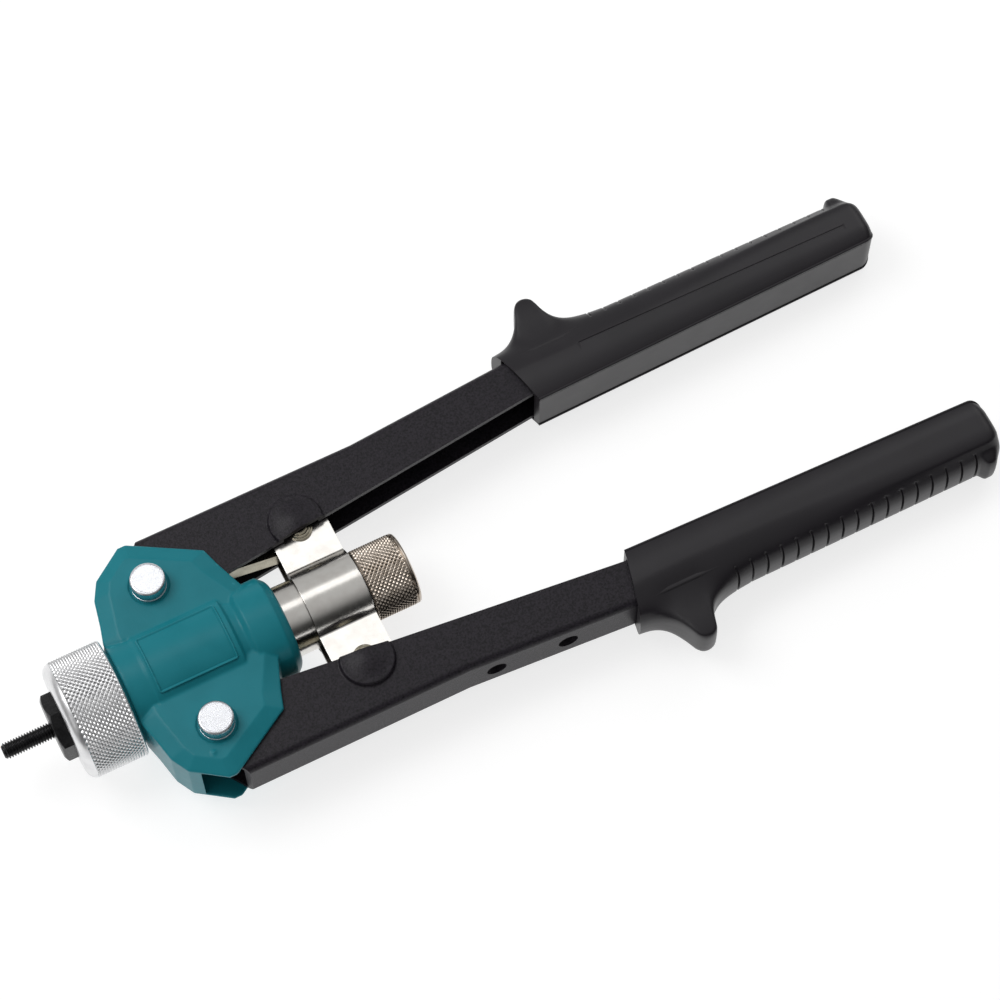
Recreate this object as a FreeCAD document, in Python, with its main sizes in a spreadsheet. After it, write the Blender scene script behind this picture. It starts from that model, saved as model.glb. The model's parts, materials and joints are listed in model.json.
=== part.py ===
import FreeCAD, Part
import os
import re
import Sketcher

# Two-handled rivet-nut setter, in millimetres.
# +X runs along the tool axis towards the handles, +Z is up, +Y is the right-hand arm.
# The origin is the centre of the nosepiece's front face, and the arms are closed.

doc = FreeCAD.newDocument("hand_riveter")

# ---------------------------------------------------------------- dimensions

dimensions = {
    # pivots and linkage
    "pivot_x": 50, "pivot_y": 28, "pivot_radius": 4.5,
    "lever_reach": 14, "lever_angle": 15, "link_pin_radius": 3,
    "yoke_pin_x": 105.8, "yoke_pin_y": 26.3, "yoke_pin_radius": 3,
    # head casting
    "head_front": 27.3, "head_rear": 87, "barrel_radius": 19, "bore_radius": 13.05,
    "spigot_front": 12, "spigot_radius": 17, "boss_radius": 18.5,
    "plateau_top": 14, "rim_top": 11.5, "slot_half": 10.3, "slot_front": 38, "slot_wall": 19.2,
    "seat_radius": 7.1, "seat_depth": 0.8,
    # pivot pins and their clips
    "pin_head_radius": 6.15, "pin_head_top": 19.5, "pin_end": 16.6, "clip_gauge": 0.8,
    "clip_radius": 7, "clip_groove_radius": 3.8,
    # nose
    "collar_front": 4.5, "collar_rear": 26.3, "collar_radius": 21.4, "collar_wall": 10,
    "hex_flats": 21.3, "shank_radius": 9, "shank_rear": 16, "nose_bore": 3.4,
    "mandrel_tip": -18.2, "mandrel_rear": 42, "mandrel_radius": 3, "mandrel_neck": 2.8,
    # slide tube, shaft and knob
    "tube_front": 40, "tube_rear": 116.6, "tube_radius": 13, "tube_bore": 10,
    "shaft_front": 25, "shaft_radius": 6, "stub_radius": 4.5, "stub_rear": 127,
    "bush_length": 9, "washer_radius": 12, "knob_front": 118, "knob_rear": 134,
    "knob_radius": 13.2, "screw_radius": 2.5, "screw_head_radius": 4.4,
    # yoke plates
    "yoke_front": 94.8, "yoke_rear": 116.2, "yoke_gauge": 1.8, "ear_top": 7.2, "ear_reach": 33,
    "rivet_head_radius": 4.3, "rivet_head_height": 1.8,
    # links
    "link_half": 3.5, "link_width": 10.4,
    # arms
    "arm_half": 10, "arm_gauge": 2, "nose_radius": 8.4, "bush_radius": 6.4,
    "arm_front": 53, "arm_bend": 135, "arm_rear": 322, "web_front_y": 47.3, "web_rear_y": 53.2,
    "emboss_radius": 9.6, "emboss_top": 11.6, "emboss_round": 0.75, "web_hole_radius": 3.6,
    # grips
    "grip_front": 202, "grip_rear": 340, "grip_half": 12, "grip_outer": 57.5,
    "grip_inner_front": 31.9, "grip_inner_rear": 36, "horn_tip": 72.5, "horn_half": 8,
    "grip_lip": 2.6,
    # working clearances
    "running_gap": 0.04, "seat_gap": 0.02,
}

sheet = doc.addObject("Spreadsheet::Sheet", "dims")
for row, (alias, number) in enumerate(dimensions.items(), 1):
    sheet.set(f"A{row}", alias)
    sheet.set(f"B{row}", str(number))
    sheet.setAlias(f"B{row}", alias)
doc.recompute()

node_names = []


# ------------------------------------------------------------------- helpers

def reference(formula):
    """The formula as an expression, with each alias pointing at its cell."""
    def point_at_cell(word):
        text = word.group()
        return "dims." + text if text in dimensions else text
    return re.sub(r"[a-z][a-z_]*", point_at_cell, str(formula))


def measure(formula):
    return float(sheet.evalExpression(reference(formula)))


def bind(item, prop, formula):
    item.setExpression(prop, reference(formula))


def new_body(label):
    body = doc.addObject("PartDesign::Body", label)
    body.Label = label
    node_names.append(label)
    return body


def new_sketch(body, plane="XY_Plane", height=None):
    sketch = body.newObject("Sketcher::SketchObject", "profile")
    origin_plane = [face for face in body.Origin.OriginFeatures if face.Role == plane][0]
    sketch.AttachmentSupport = [(origin_plane, "")]
    sketch.MapMode = "FlatFace"
    if height is not None:
        bind(sketch, "AttachmentOffset.Base.z", height)
    return sketch


def fix_point(sketch, geometry, position, across, up):
    """Ties one point of the sketch to its two formulas."""
    for kind, formula in (("DistanceX", across), ("DistanceY", up)):
        rule = Sketcher.Constraint(kind, -1, 1, geometry, position, measure(formula))
        index = sketch.addConstraint(rule)
        sketch.setExpression(f"Constraints[{index}]", reference(formula))


def draw_outline(sketch, corners):
    """A closed outline of straight edges through corners given as formulas."""
    points = [FreeCAD.Vector(measure(across), measure(up), 0) for across, up in corners]
    first = sketch.GeometryCount
    for start, end in zip(points, points[1:] + points[:1]):
        sketch.addGeometry(Part.LineSegment(start, end))
    for step, (across, up) in enumerate(corners):
        following = (step + 1) % len(corners)
        sketch.addConstraint(Sketcher.Constraint("Coincident", first + step, 2, first + following, 1))
        fix_point(sketch, first + step, 1, across, up)


def draw_circle(sketch, across, up, radius):
    centre = FreeCAD.Vector(measure(across), measure(up), 0)
    circle = Part.Circle(centre, FreeCAD.Vector(0, 0, 1), measure(radius))
    index = sketch.addGeometry(circle)
    fix_point(sketch, index, 3, across, up)
    rule = sketch.addConstraint(Sketcher.Constraint("Radius", index, measure(radius)))
    sketch.setExpression(f"Constraints[{rule}]", reference(radius))


def pad(body, sketch, length, midplane=True):
    feature = body.newObject("PartDesign::Pad", "pad")
    feature.Profile = sketch
    feature.Midplane = midplane
    bind(feature, "Length", length)
    doc.recompute()
    return feature


def pocket(body, sketch, length, midplane=True, reverse=False):
    """Cuts the sketch out, and stops the build if nothing was removed."""
    before = body.Shape.Volume
    feature = body.newObject("PartDesign::Pocket", "pocket")
    feature.Profile = sketch
    feature.Midplane = midplane
    feature.Reversed = reverse
    bind(feature, "Length", length)
    doc.recompute()
    if body.Shape.Volume > before - 1e-3:
        raise RuntimeError(f"a pocket of {body.Label} cuts nothing")
    return feature


def revolve(body, corners, plane="XY_Plane", axis="H_Axis"):
    """A ring or shaft turned from a profile of formulas."""
    sketch = new_sketch(body, plane)
    draw_outline(sketch, corners)
    feature = body.newObject("PartDesign::Revolution", "turning")
    feature.Profile = sketch
    feature.ReferenceAxis = (sketch, [axis])
    feature.Angle = 360
    doc.recompute()
    return feature


def groove(body, corners, plane="XY_Plane", axis="H_Axis"):
    sketch = new_sketch(body, plane)
    draw_outline(sketch, corners)
    before = body.Shape.Volume
    feature = body.newObject("PartDesign::Groove", "bore")
    feature.Profile = sketch
    feature.ReferenceAxis = (sketch, [axis])
    feature.Angle = 360
    doc.recompute()
    if body.Shape.Volume > before - 1e-3:
        raise RuntimeError(f"a groove of {body.Label} cuts nothing")
    return feature


def dress(body, kind, size, wanted):
    """Rounds or bevels the edges of the body that the test picks."""
    base = body.Tip
    names = [f"Edge{index}" for index, edge in enumerate(base.Shape.Edges, 1) if wanted(edge)]
    if not names:
        raise RuntimeError(f"no edge of {body.Label} to dress")
    feature = body.newObject(f"PartDesign::{kind}", "edge_dressing")
    feature.Base = (base, names)
    prop = "Radius" if kind == "Fillet" else "Size"
    bind(feature, prop, size)
    doc.recompute()
    return feature


def turned_part(label, corners):
    """A part turned about the tool axis, from corners (place along X, radius)."""
    body = new_body(label)
    revolve(body, corners)
    return body


def turned_pin(label, corners, place_x, place_y):
    """A part turned about a vertical axis, from corners (radius, height)."""
    body = new_body(label)
    revolve(body, corners, "XZ_Plane", "V_Axis")
    bind(body, "Placement.Base.x", place_x)
    bind(body, "Placement.Base.y", place_y)
    return body


def ring_profile(front, rear, inner, outer):
    return [(front, inner), (rear, inner), (rear, outer), (front, outer)]


def x_cylinder(name, front, rear, radius):
    """A cylinder primitive along the tool axis."""
    solid = doc.addObject("Part::Cylinder", name)
    solid.Placement = FreeCAD.Placement(FreeCAD.Vector(), FreeCAD.Rotation(FreeCAD.Vector(0, 1, 0), 90))
    bind(solid, "Placement.Base.x", front)
    bind(solid, "Height", f"{rear} - ({front})")
    bind(solid, "Radius", radius)
    return solid


def combine(kind, base, tool, name="step"):
    result = doc.addObject(f"Part::{kind}", name)
    result.Base = base
    result.Tool = tool
    return result


def edge_spans(edge):
    """The edge's lowest and highest corner, as two vectors."""
    bounds = edge.BoundBox
    low = FreeCAD.Vector(bounds.XMin, bounds.YMin, bounds.ZMin)
    high = FreeCAD.Vector(bounds.XMax, bounds.YMax, bounds.ZMax)
    return low, high


# ------------------------------------------------------------------ the head

# One wing's rim, from the front of the barrel round to its rear boss, for the +Y side.
wing_rim = [
    ("head_front", "pivot_y - 12"), ("pivot_x - 21", "pivot_y - 5.6"),
    ("pivot_x - 19", "pivot_y + 4"), ("pivot_x - 15.5", "pivot_y + 10.4"),
    ("pivot_x - 4", "pivot_y + 18.4"), ("pivot_x - 1", "pivot_y + 18.4"),
    ("pivot_x + 22.5", "pivot_y + 4.5"), ("pivot_x + 24.5", "pivot_y - 2"),
    ("pivot_x + 28.5", "pivot_y - 12.6"), ("head_rear - 7", "pivot_y - 20"),
]
# The flat top of the wing, corner for corner.
wing_plateau = [
    ("head_front + 6", "pivot_y - 12"), ("pivot_x - 15.3", "pivot_y - 5.6"),
    ("pivot_x - 13.4", "pivot_y + 3.2"), ("pivot_x - 11.5", "pivot_y + 7.2"),
    ("pivot_x - 4", "pivot_y + 12.4"), ("pivot_x - 2", "pivot_y + 12.4"),
    ("pivot_x + 16.8", "pivot_y + 1.6"), ("pivot_x + 18.4", "pivot_y - 3.4"),
    ("pivot_x + 24.5", "pivot_y - 15"), ("head_rear - 10", "pivot_y - 20"),
]


def both_wings(rim):
    """The rim of the +Y wing and its mirror image, as one closed outline."""
    mirrored = [(across, f"-({up})") for across, up in reversed(rim)]
    return rim + mirrored


def build_head():
    body = new_body("head_casting")
    revolve(body, [
        ("spigot_front", "bore_radius"), ("spigot_front", "spigot_radius - 1"),
        ("spigot_front + 1", "spigot_radius"), ("head_front", "spigot_radius"),
        ("head_front", "barrel_radius - 0.6"), ("head_front + 0.6", "barrel_radius"),
        ("pivot_x + 18", "barrel_radius"), ("pivot_x + 19", "barrel_radius - 1.6"),
        ("pivot_x + 21.5", "barrel_radius - 2.2"), ("pivot_x + 23.5", "boss_radius"),
        ("head_rear - 3.2", "boss_radius"), ("head_rear - 0.8", "boss_radius - 2.2"),
        ("head_rear", "boss_radius - 3.6"), ("head_rear", "bore_radius"),
    ])
    rim = new_sketch(body)
    draw_outline(rim, both_wings(wing_rim))
    pad(body, rim, "2 * rim_top")
    for side in (1, -1):
        low = new_sketch(body, height=f"{side} * (rim_top - 0.01)")
        draw_outline(low, both_wings(wing_rim))
        high = new_sketch(body, height=f"{side} * plateau_top")
        draw_outline(high, both_wings(wing_plateau))
        loft = body.newObject("PartDesign::AdditiveLoft", "bevel")
        loft.Profile = low
        loft.Sections = [high]
        loft.Ruled = True
        doc.recompute()
    groove(body, [("spigot_front - 1", 0), ("head_rear + 1", 0),
                  ("head_rear + 1", "bore_radius"), ("spigot_front - 1", "bore_radius")])
    for side in (1, -1):
        slot = new_sketch(body)
        draw_outline(slot, [
            ("slot_front", f"{side} * slot_wall"), ("head_rear + 5", f"{side} * slot_wall"),
            ("head_rear + 5", f"{side} * (pivot_y + 40)"), ("slot_front", f"{side} * (pivot_y + 40)"),
        ])
        pocket(body, slot, "2 * slot_half")
        hole = new_sketch(body)
        draw_circle(hole, "pivot_x", f"{side} * pivot_y", "pivot_radius + running_gap")
        pocket(body, hole, "4 * plateau_top")
        seat = new_sketch(body, height="plateau_top")
        draw_circle(seat, "pivot_x", f"{side} * pivot_y", "seat_radius")
        pocket(body, seat, "seat_depth", midplane=False)
    return body


# ------------------------------------------------------------------ the nose

def build_nose():
    turned_part("nose_collar", [
        ("collar_front", "shank_radius + seat_gap"), ("collar_front", "collar_radius - 2"),
        ("collar_front + 0.5", "collar_radius - 0.8"), ("collar_front + 2", "collar_radius"),
        ("collar_rear - 0.5", "collar_radius"), ("collar_rear", "collar_radius - 0.5"),
        ("collar_rear", "spigot_radius + running_gap"),
        ("collar_wall", "spigot_radius + running_gap"),
        ("collar_wall", "shank_radius + seat_gap"),
    ])
    hexagon = doc.addObject("Part::Prism", "hexagon")
    hexagon.Polygon = 6
    hexagon.Placement = FreeCAD.Placement(
        FreeCAD.Vector(), FreeCAD.Rotation(FreeCAD.Vector(0, 1, 0), 90))
    bind(hexagon, "Circumradius", "hex_flats / sqrt(3)")
    bind(hexagon, "Height", "collar_front")
    corner_cone = doc.addObject("Part::Cone", "corner_cone")
    corner_cone.Placement = FreeCAD.Placement(
        FreeCAD.Vector(), FreeCAD.Rotation(FreeCAD.Vector(0, 1, 0), 90))
    bind(corner_cone, "Radius1", "hex_flats / 2 - 0.3")
    bind(corner_cone, "Radius2", "hex_flats / 2 - 0.3 + 1.9 * collar_front")
    bind(corner_cone, "Height", "collar_front")
    head = combine("Common", hexagon, corner_cone)
    shank = x_cylinder("shank", "collar_front - 0.5", "shank_rear", "shank_radius")
    solid = combine("Fuse", head, shank)
    bore = x_cylinder("nose_hole", "-1", "shank_rear + 1", "nose_bore")
    nosepiece = combine("Cut", solid, bore, "nosepiece")
    nosepiece.Label = "nosepiece"
    node_names.append("nosepiece")
    turned_part("mandrel", [
        ("mandrel_tip", 0), ("mandrel_tip", "mandrel_radius - 0.7"),
        ("mandrel_tip + 0.7", "mandrel_radius"), (0, "mandrel_radius"),
        (0, "mandrel_neck"), ("shaft_front - 1", "mandrel_neck"),
        ("shaft_front - 1", "mandrel_radius"), ("mandrel_rear", "mandrel_radius"),
        ("mandrel_rear", 0),
    ])


# ------------------------------------------------- tube, shaft and rear knob

def build_drive():
    turned_part("slide_tube", ring_profile("tube_front", "tube_rear", "tube_bore", "tube_radius"))
    for label, front in (("front_bush", "tube_front + 1"), ("rear_bush", "tube_rear - bush_length - 1")):
        turned_part(label, ring_profile(front, f"{front} + bush_length",
                                        "shaft_radius + running_gap", "tube_bore - seat_gap"))
    turned_part("drive_shaft", [
        ("shaft_front", "mandrel_radius + seat_gap"), ("shaft_front", "shaft_radius - 0.6"),
        ("shaft_front + 0.6", "shaft_radius"), ("knob_front", "shaft_radius"),
        ("knob_front", "stub_radius"), ("stub_rear", "stub_radius"),
        ("stub_rear", "screw_radius + seat_gap"), ("stub_rear - 11", "screw_radius + seat_gap"),
        ("stub_rear - 11", 0), ("mandrel_rear + 1", 0),
        ("mandrel_rear + 1", "mandrel_radius + seat_gap"),
    ])
    turned_part("thrust_washer", ring_profile("tube_rear", "knob_front",
                                              "shaft_radius + running_gap", "washer_radius"))
    turned_part("rear_knob", [
        ("knob_front", "stub_radius + seat_gap"), ("knob_front", "knob_radius - 0.5"),
        ("knob_front + 0.5", "knob_radius"), ("knob_rear - 1.2", "knob_radius"),
        ("knob_rear", "knob_radius - 1.2"), ("knob_rear", "screw_head_radius + 0.3"),
        ("knob_rear - 4.5", "screw_head_radius + 0.3"), ("knob_rear - 4.5", "screw_radius + 0.2"),
        ("stub_rear + 0.1", "screw_radius + 0.2"), ("stub_rear + 0.1", "stub_radius + seat_gap"),
    ])
    screw = turned_part("knob_screw", [
        ("stub_rear - 9", 0), ("stub_rear - 9", "screw_radius"),
        ("knob_rear - 4.5", "screw_radius"), ("knob_rear - 4.5", "screw_head_radius"),
        ("knob_rear - 0.8", "screw_head_radius"), ("knob_rear - 0.4", "screw_head_radius - 0.4"),
        ("knob_rear - 0.4", 0),
    ])
    socket = new_sketch(screw, "YZ_Plane", "knob_rear - 0.4")
    corners = [(f"2.3 * cos({60 * turn})", f"2.3 * sin({60 * turn})") for turn in range(6)]
    draw_outline(socket, corners)
    pocket(screw, socket, "2.4", midplane=False)


# ------------------------------------------------------------ the yoke plates

def build_yoke():
    for label, side in (("yoke_plate_upper", 1), ("yoke_plate_lower", -1)):
        strip = doc.addObject("Part::Box", "ears")
        bind(strip, "Length", "yoke_rear - yoke_front")
        bind(strip, "Width", "2 * ear_reach")
        bind(strip, "Height", "yoke_gauge")
        bind(strip, "Placement.Base.x", "yoke_front")
        bind(strip, "Placement.Base.y", "-ear_reach")
        bind(strip, "Placement.Base.z", "ear_top - yoke_gauge" if side > 0 else "-ear_top")
        half = doc.addObject("Part::Box", "half")
        bind(half, "Length", "yoke_rear - yoke_front")
        bind(half, "Width", "2 * barrel_radius")
        bind(half, "Height", "barrel_radius")
        bind(half, "Placement.Base.x", "yoke_front")
        bind(half, "Placement.Base.y", "-barrel_radius")
        bind(half, "Placement.Base.z",
             "ear_top - yoke_gauge" if side > 0 else "-(ear_top - yoke_gauge) - barrel_radius")
        saddle = x_cylinder("saddle", "yoke_front", "yoke_rear", "tube_radius + yoke_gauge")
        arch = combine("Common", saddle, half)
        plate = combine("Fuse", strip, arch)
        tube_space = x_cylinder("tube_space", "yoke_front - 1", "yoke_rear + 1",
                                "tube_radius + seat_gap")
        plate = combine("Cut", plate, tube_space)
        for sign in (1, -1):
            hole = doc.addObject("Part::Cylinder", "pin_hole")
            bind(hole, "Radius", "yoke_pin_radius + seat_gap")
            bind(hole, "Height", "4 * ear_top")
            bind(hole, "Placement.Base.x", "yoke_pin_x")
            bind(hole, "Placement.Base.y", f"{sign} * yoke_pin_y")
            bind(hole, "Placement.Base.z", "-2 * ear_top")
            plate = combine("Cut", plate, hole)
        doc.recompute()
        rounding = doc.addObject("Part::Fillet", label)
        rounding.Base = plate
        edges = []
        for index, edge in enumerate(plate.Shape.Edges, 1):
            low, high = edge_spans(edge)
            upright = high.z - low.z > 1 and high.y - low.y < 0.01 and high.x - low.x < 0.01
            if upright and abs(abs(low.y) - measure("ear_reach")) < 0.01:
                edges.append((index, 5.0, 5.0))
            fold = high.x - low.x > 10 and abs(abs(low.z) - measure("ear_top")) < 0.01
            if fold and abs(low.y) < measure("tube_radius + yoke_gauge"):
                edges.append((index, 0.9, 0.9))
        rounding.Edges = edges
        rounding.Label = label
        node_names.append(label)


def build_yoke_pins():
    outer = "ear_top + rivet_head_height"
    for label, side in (("yoke_pin_right", 1), ("yoke_pin_left", -1)):
        turned_pin(label, [
            (0, f"-({outer})"), ("rivet_head_radius - 1.6", f"-({outer})"),
            ("rivet_head_radius", "-(ear_top + 0.8)"), ("rivet_head_radius", "-ear_top"),
            ("yoke_pin_radius", "-ear_top"), ("yoke_pin_radius", "ear_top"),
            ("rivet_head_radius", "ear_top"), ("rivet_head_radius", "ear_top + 0.8"),
            ("rivet_head_radius - 1.6", outer), (0, outer),
        ], "yoke_pin_x", f"{side} * yoke_pin_y")


# ------------------------------------------------------------------ the links

lever_x = "pivot_x + lever_reach * cos(lever_angle)"
lever_y = "pivot_y + lever_reach * sin(lever_angle)"
link_run = f"(yoke_pin_x - ({lever_x}))"
link_rise = f"({lever_y} - yoke_pin_y)"
link_length = f"sqrt({link_run}^2 + {link_rise}^2)"


def build_links():
    for label, side in (("link_right", 1), ("link_left", -1)):
        body = new_body(label)
        bar = new_sketch(body)
        draw_outline(bar, [
            (f"-{link_length}", "-link_width / 2"), (0, "-link_width / 2"),
            (0, "link_width / 2"), (f"-{link_length}", "link_width / 2"),
        ])
        pad(body, bar, "2 * link_half")
        yoke_hub = new_sketch(body)
        draw_circle(yoke_hub, 0, 0, "link_width / 2")
        pad(body, yoke_hub, "2 * (ear_top - yoke_gauge - 0.2)")
        lever_hub = new_sketch(body)
        draw_circle(lever_hub, f"-{link_length}", 0, "link_width / 2 + 0.6")
        pad(body, lever_hub, "2 * (arm_half - arm_gauge - 0.3)")
        yoke_hole = new_sketch(body)
        draw_circle(yoke_hole, 0, 0, "yoke_pin_radius + running_gap")
        pocket(body, yoke_hole, "4 * arm_half")
        lever_hole = new_sketch(body)
        draw_circle(lever_hole, f"-{link_length}", 0, "link_pin_radius + 0.85")
        pocket(body, lever_hole, "4 * arm_half")
        bind(body, "Placement.Base.x", "yoke_pin_x")
        bind(body, "Placement.Base.y", f"{side} * yoke_pin_y")
        bind(body, "Placement.Rotation.Angle", f"{-side} * atan({link_rise} / {link_run})")


# ------------------------------------------------------------- arms and pins

# The folded arm in plan, for the +Y side: round the nose, along the web, back up the open edge.
arm_web = [("arm_front", "web_front_y"), ("arm_bend", "web_front_y"),
           ("grip_front - 6", "web_front_y + 4.4"), ("arm_rear", "web_rear_y")]
arm_open_edge = [("arm_rear", "web_rear_y - 13.7"), ("grip_front - 2", "web_front_y - 11.7"),
                 ("pivot_x + 27", "pivot_y - 6.1"), ("pivot_x", "pivot_y - nose_radius")]


def sided(corners, side, shift=0):
    """The +Y corners moved out by shift, and mirrored for the other side."""
    return [(across, f"{side} * ({up} + {shift})") for across, up in corners]


def build_arm(label, side):
    body = new_body(label)
    plan = new_sketch(body)
    cheek = [("pivot_x - nose_radius * 0.72", "pivot_y + nose_radius * 0.7")]
    draw_outline(plan, sided(arm_web + arm_open_edge + cheek, side))
    pad(body, plan, "2 * arm_half")
    nose = new_sketch(body)
    draw_circle(nose, "pivot_x", f"{side} * pivot_y", "nose_radius")
    pad(body, nose, "2 * arm_half")
    dress(body, "Fillet", "arm_gauge + 0.6", lambda edge: is_fold(edge, side))
    emboss = new_sketch(body)
    draw_circle(emboss, "yoke_pin_x - 0.3", f"{side} * (yoke_pin_y + 2.4)", "emboss_radius")
    pad(body, emboss, "2 * emboss_top")
    dress(body, "Fillet", "emboss_round", is_emboss_edge)
    hollow = new_sketch(body)
    inside = sided([("pivot_x - 20", "web_front_y")] + arm_web[1:3], side, "-arm_gauge")
    inside += sided([("arm_rear + 5", "web_rear_y")], side, "-arm_gauge")
    inside += sided([("arm_rear + 5", 0), ("pivot_x - 20", 0)], side)
    draw_outline(hollow, inside)
    pocket(body, hollow, "2 * (arm_half - arm_gauge)")
    dimple = new_sketch(body)
    draw_circle(dimple, "yoke_pin_x - 0.3", f"{side} * (yoke_pin_y + 2.4)", "emboss_radius - 1.7")
    pocket(body, dimple, "2 * (emboss_top - arm_gauge + 0.2)")
    trim = new_sketch(body)
    open_side = sided(arm_open_edge[1:3], side) + sided([("pivot_x + 27", 0), ("grip_front - 2", 0)], side)
    draw_outline(trim, open_side)
    pocket(body, trim, "4 * arm_half")
    for across, up, radius in (("pivot_x", "pivot_y", "bush_radius + seat_gap"),
                               (lever_x, lever_y, "link_pin_radius + seat_gap")):
        hole = new_sketch(body)
        draw_circle(hole, across, f"{side} * ({up})", radius)
        pocket(body, hole, "4 * arm_half")
    for across in ("pivot_x + 95", "pivot_x + 121.5"):
        hole = new_sketch(body, "XZ_Plane", f"{-side} * (web_front_y - 6)")
        draw_circle(hole, across, 0, "web_hole_radius")
        pocket(body, hole, "15", midplane=False, reverse=side < 0)
    return body


def is_fold(edge, side):
    """The two long folds between the web and the flanges."""
    low, high = edge_spans(edge)
    level = abs(abs(low.z) - measure("arm_half")) < 0.01 and high.z - low.z < 0.01
    outside = min(side * low.y, side * high.y) > measure("web_front_y") - 0.1
    return level and outside and high.x - low.x > 10


def is_emboss_edge(edge):
    """The emboss's rim, and the arc where it meets the flange."""
    low, high = edge_spans(edge)
    level = high.z - low.z < 0.01
    round_edge = hasattr(edge.Curve, "Radius") and abs(edge.Curve.Radius - measure("emboss_radius")) < 0.01
    return level and round_edge and abs(low.z) > measure("arm_half") - 0.01


def build_arms():
    for name, side in (("right", 1), ("left", -1)):
        build_arm(f"arm_{name}", side)
        turned_pin(f"pivot_pin_{name}", [
            (0, "-pin_end"), ("pivot_radius - 0.6", "-pin_end"),
            ("pivot_radius", "-(pin_end - 0.6)"),
            ("pivot_radius", "-(plateau_top + clip_gauge)"),
            ("clip_groove_radius", "-(plateau_top + clip_gauge)"),
            ("clip_groove_radius", "-plateau_top"), ("pivot_radius", "-plateau_top"),
            ("pivot_radius", "plateau_top - seat_depth"),
            ("pin_head_radius", "plateau_top - seat_depth"),
            ("pin_head_radius", "pin_head_top - 0.9"), ("pin_head_radius - 0.3", "pin_head_top - 0.35"),
            ("pin_head_radius - 0.95", "pin_head_top"), (0, "pin_head_top"),
        ], "pivot_x", f"{side} * pivot_y")
        turned_pin(f"pivot_bush_{name}", [
            ("pivot_radius + running_gap", "-arm_half"), ("bush_radius", "-arm_half"),
            ("bush_radius", "arm_half"), ("pivot_radius + running_gap", "arm_half"),
        ], "pivot_x", f"{side} * pivot_y")
        turned_pin(f"link_pin_{name}", [
            (0, "-arm_half"), ("link_pin_radius - 0.3", "-arm_half"),
            ("link_pin_radius", "-(arm_half - 0.3)"), ("link_pin_radius", "arm_half - 0.3"),
            ("link_pin_radius - 0.3", "arm_half"), (0, "arm_half"),
        ], lever_x, f"{side} * ({lever_y})")


def build_clips():
    """Both E-clips under the head, as one node of two separate solids."""
    clips = []
    for side in (1, -1):
        disc = doc.addObject("Part::Cylinder", "clip_disc")
        bind(disc, "Radius", "clip_radius")
        bind(disc, "Height", "clip_gauge")
        bore = doc.addObject("Part::Cylinder", "clip_bore")
        bind(bore, "Radius", "clip_groove_radius + seat_gap")
        bind(bore, "Height", "clip_gauge")
        mouth = doc.addObject("Part::Box", "clip_mouth")
        bind(mouth, "Length", "clip_radius + 1")
        bind(mouth, "Width", "1.6 * clip_groove_radius")
        bind(mouth, "Height", "clip_gauge")
        bind(mouth, "Placement.Base.y", f"{side} * pivot_y - 0.8 * clip_groove_radius")
        for item in (disc, bore):
            bind(item, "Placement.Base.y", f"{side} * pivot_y")
        for item in (disc, bore, mouth):
            bind(item, "Placement.Base.x", "pivot_x")
            bind(item, "Placement.Base.z", "-(plateau_top + clip_gauge)")
        clips.append(combine("Cut", combine("Cut", disc, bore), mouth))
    pair = doc.addObject("Part::Compound", "pivot_clips")
    pair.Links = clips
    pair.Label = "pivot_clips"
    node_names.append("pivot_clips")


# ------------------------------------------------------------------ the grips

# The grip in plan, for the +Y side: outer side with its finger horn, rear end, inner side.
grip_outline = [
    ("grip_front - 7", "grip_outer - 2"), ("grip_front - 5", "grip_outer + 0.5"),
    ("grip_front + 2", "grip_outer + 3.5"), ("grip_front + 7.5", "grip_outer + 10"),
    ("grip_front + 9", "horn_tip - 1"), ("grip_front + 13", "horn_tip"),
    ("grip_front + 16.5", "horn_tip - 4"), ("grip_front + 18", "grip_outer + 5"),
    ("grip_front + 23", "grip_outer + 1"), ("grip_front + 31", "grip_outer"),
    ("grip_rear - 13.5", "grip_outer"), ("grip_rear - 12", "grip_outer + grip_lip"),
    ("grip_rear - 9.5", "grip_outer + grip_lip"), ("grip_rear - 4.5", "grip_outer - 0.5"),
    ("grip_rear", "grip_outer - 7"),
    ("grip_rear", "grip_inner_rear + 6"), ("grip_rear - 4", "grip_inner_rear + 0.8"),
    ("grip_rear - 9", "grip_inner_rear"),
    ("grip_front", "grip_inner_front"),
]


def is_grip_rim(edge, side):
    """The long outer edges of the grip, above and below, behind the horn."""
    low, high = edge_spans(edge)
    level = abs(abs(low.z) - measure("grip_half")) < 0.01 and high.z - low.z < 0.01
    outside = min(side * low.y, side * high.y) > measure("grip_outer") - 0.1
    return level and outside and high.x - low.x > 60


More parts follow.
